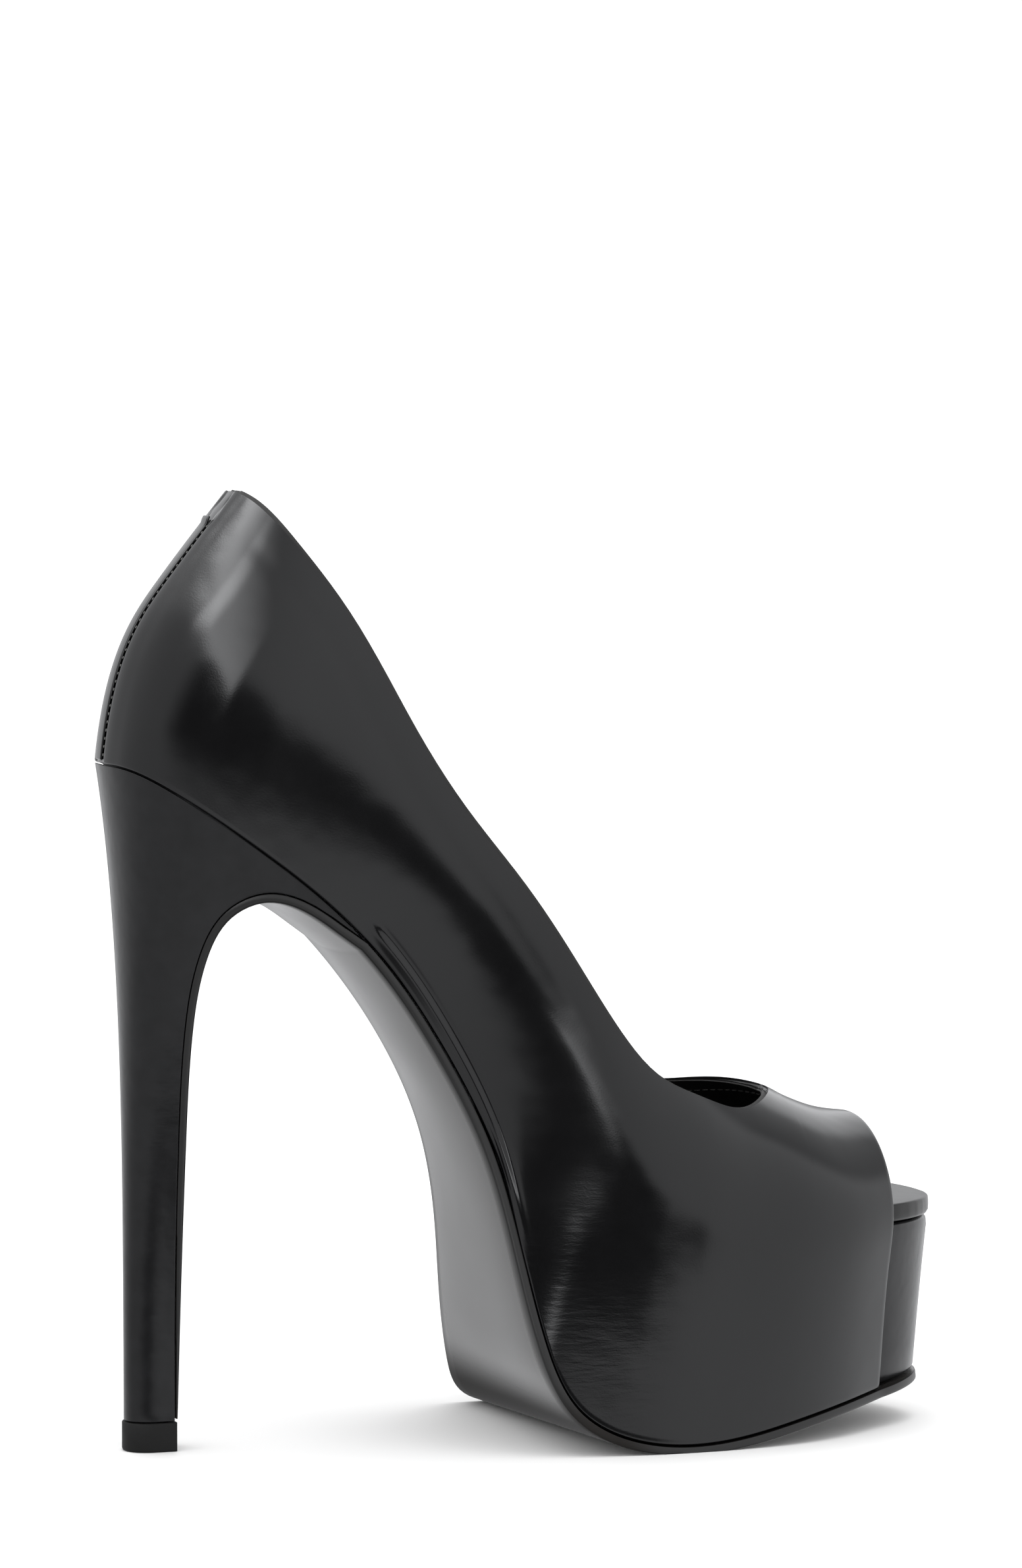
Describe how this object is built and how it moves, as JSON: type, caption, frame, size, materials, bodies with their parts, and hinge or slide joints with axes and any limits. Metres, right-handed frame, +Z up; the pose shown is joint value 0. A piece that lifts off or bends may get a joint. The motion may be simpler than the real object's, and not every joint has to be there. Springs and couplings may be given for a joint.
{
  "type": "platform pump",
  "caption": "Black leather platform pump for the left foot: peep toe, open throat, covered stiletto heel, hidden platform wrapped by the upper, thin outsole and rubber heel tip.",
  "frame": {"origin": "middle of the shoe's bounding box, on the floor", "axes": "+X towards the toe, +Y towards the outer side of the left foot, +Z up from the floor"},
  "size_m": [0.2024, 0.0914, 0.2211],
  "materials": {
    "upper_leather": "polished",
    "wrap_leather": "semi-gloss",
    "insole_leather": "semi-gloss",
    "outsole_leather": "satin",
    "tip_rubber": "matte"
  },
  "bodies": {
    "root": {"upper": "upper_leather", "back_strip": "upper_leather", "insole": "insole_leather", "platform": "wrap_leather", "outsole": "outsole_leather", "heel": "wrap_leather", "top_piece": "tip_rubber"}
  },
  "joints": []
}
